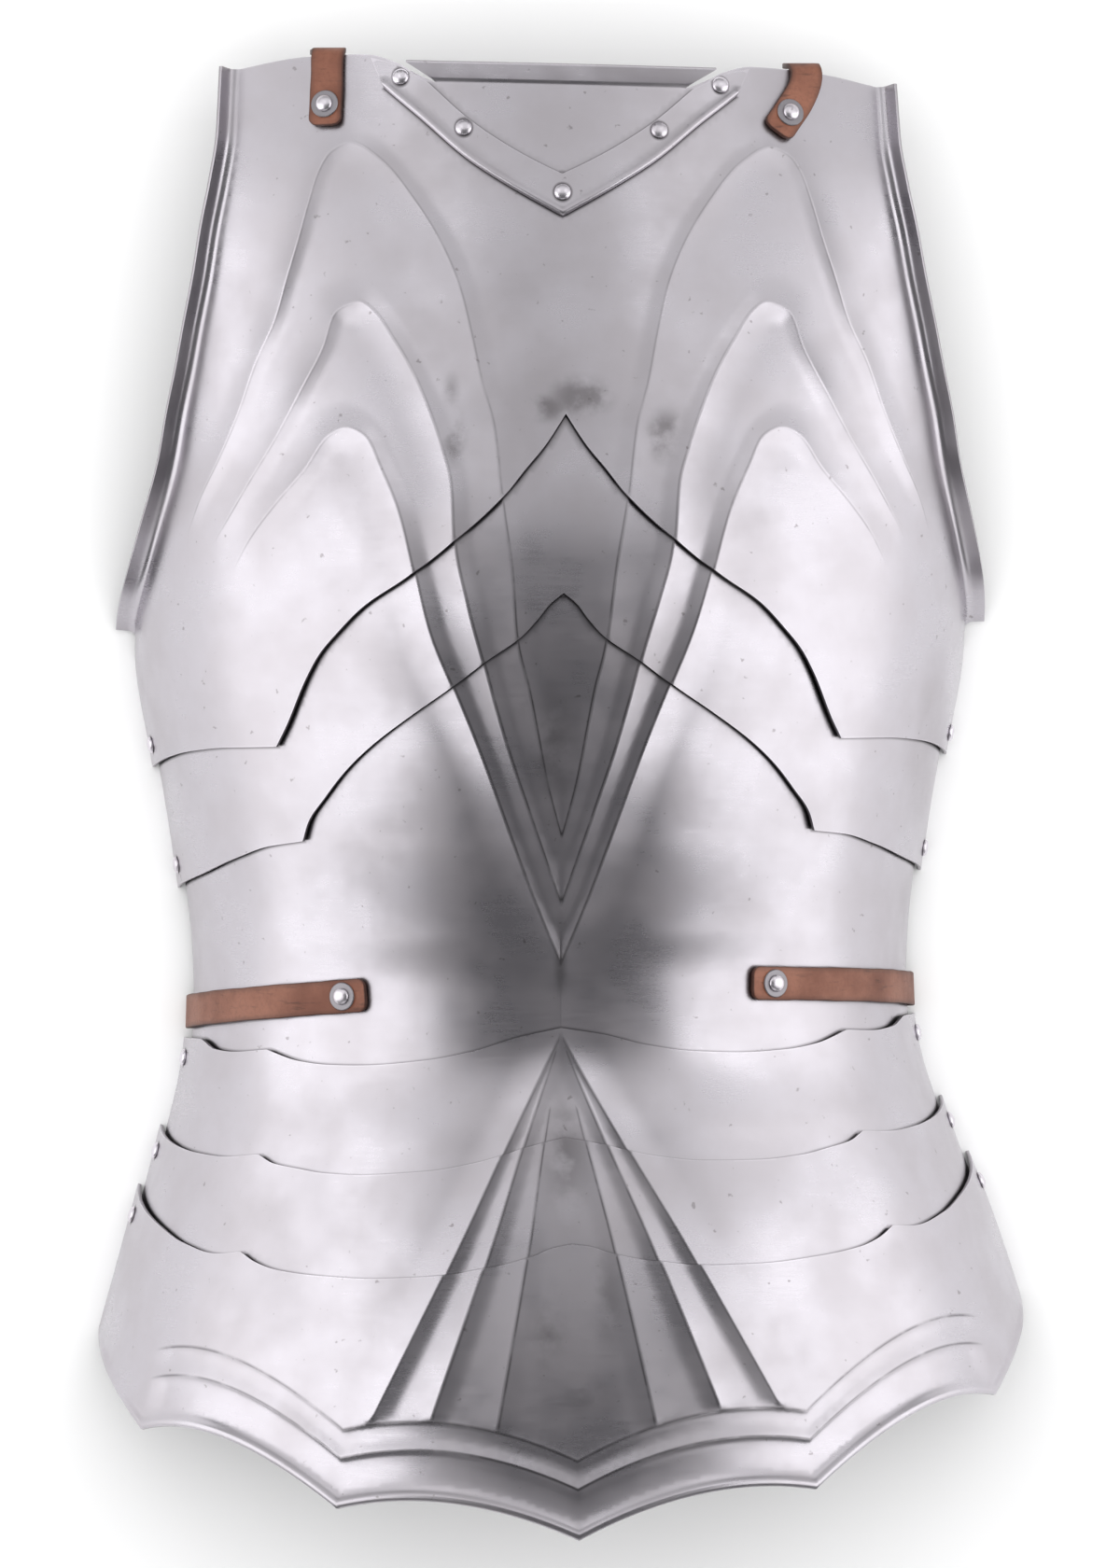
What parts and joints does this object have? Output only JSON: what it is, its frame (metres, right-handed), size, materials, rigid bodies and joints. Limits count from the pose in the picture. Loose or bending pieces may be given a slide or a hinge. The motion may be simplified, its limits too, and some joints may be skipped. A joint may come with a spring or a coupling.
{
  "type": "steel cuirass breastplate",
  "caption": "Fluted steel cuirass breastplate with pointed waist plates, a lamed fauld with a scalloped hem, a riveted neck band and leather straps.",
  "frame": {"origin": "centre of the box on the surface that the cuirass lies on", "axes": "+X to the viewer's right, +Y towards the neck, +Z out of the front"},
  "size_m": [0.4166, 0.6684, 0.1943],
  "materials": {
    "steel": "satin steel, polished by hand, with faint stains",
    "rivet_steel": "domed steel rivets and flat washers",
    "leather": "reddish brown strap leather with dark edges"
  },
  "bodies": {
    "chest": {"breastplate": "steel", "neck_band": "steel", "neck_rivet_1": "rivet_steel", "neck_rivet_2": "rivet_steel", "neck_rivet_3": "rivet_steel", "neck_rivet_4": "rivet_steel", "neck_rivet_5": "rivet_steel", "left_breast_rivet": "rivet_steel", "left_shoulder_strap": "leather", "left_shoulder_strap_washer": "rivet_steel", "left_shoulder_strap_rivet": "rivet_steel", "right_breast_rivet": "rivet_steel", "right_shoulder_strap": "leather", "right_shoulder_strap_washer": "rivet_steel", "right_shoulder_strap_rivet": "rivet_steel"},
    "lame": {"upper_lame": "steel", "left_lame_rivet": "rivet_steel", "right_lame_rivet": "rivet_steel"},
    "waist": {"waist_plate": "steel", "left_waist_strap": "leather", "left_waist_strap_washer": "rivet_steel", "left_waist_strap_rivet": "rivet_steel", "right_waist_strap": "leather", "right_waist_strap_washer": "rivet_steel", "right_waist_strap_rivet": "rivet_steel"},
    "fauld_1": {"fauld_lame_1": "steel", "left_fauld_1_rivet": "rivet_steel", "right_fauld_1_rivet": "rivet_steel"},
    "fauld_2": {"fauld_lame_2": "steel", "left_fauld_2_rivet": "rivet_steel", "right_fauld_2_rivet": "rivet_steel"},
    "fauld_3": {"fauld_lame_3": "steel", "left_fauld_3_rivet": "rivet_steel", "right_fauld_3_rivet": "rivet_steel"}
  },
  "joints": [
    {"name": "lame_hinge", "type": "hinge", "parent": "chest", "child": "lame", "pos_m": [-0.00456, 0.0245, 0.01596], "axis": [0.9999, 0.0156, 0], "range_deg": [-4, 0]},
    {"name": "waist_hinge", "type": "hinge", "parent": "lame", "child": "waist", "pos_m": [-0.00456, -0.02854, 0.01492], "axis": [0.9997, 0.0228, 0], "range_deg": [-4, 0]},
    {"name": "fauld_1_hinge", "type": "hinge", "parent": "waist", "child": "fauld_1", "pos_m": [-0.00454, -0.11408, 0.01431], "axis": [0.9994, 0.0341, 0], "range_deg": [-4, 0]},
    {"name": "fauld_2_hinge", "type": "hinge", "parent": "fauld_1", "child": "fauld_2", "pos_m": [-0.00342, -0.15483, 0.01579], "axis": [0.9993, 0.0384, 0], "range_deg": [-4, 0]},
    {"name": "fauld_3_hinge", "type": "hinge", "parent": "fauld_2", "child": "fauld_3", "pos_m": [-0.00191, -0.18287, 0.01699], "axis": [0.9992, 0.0401, 0], "range_deg": [-4, 0]}
  ]
}
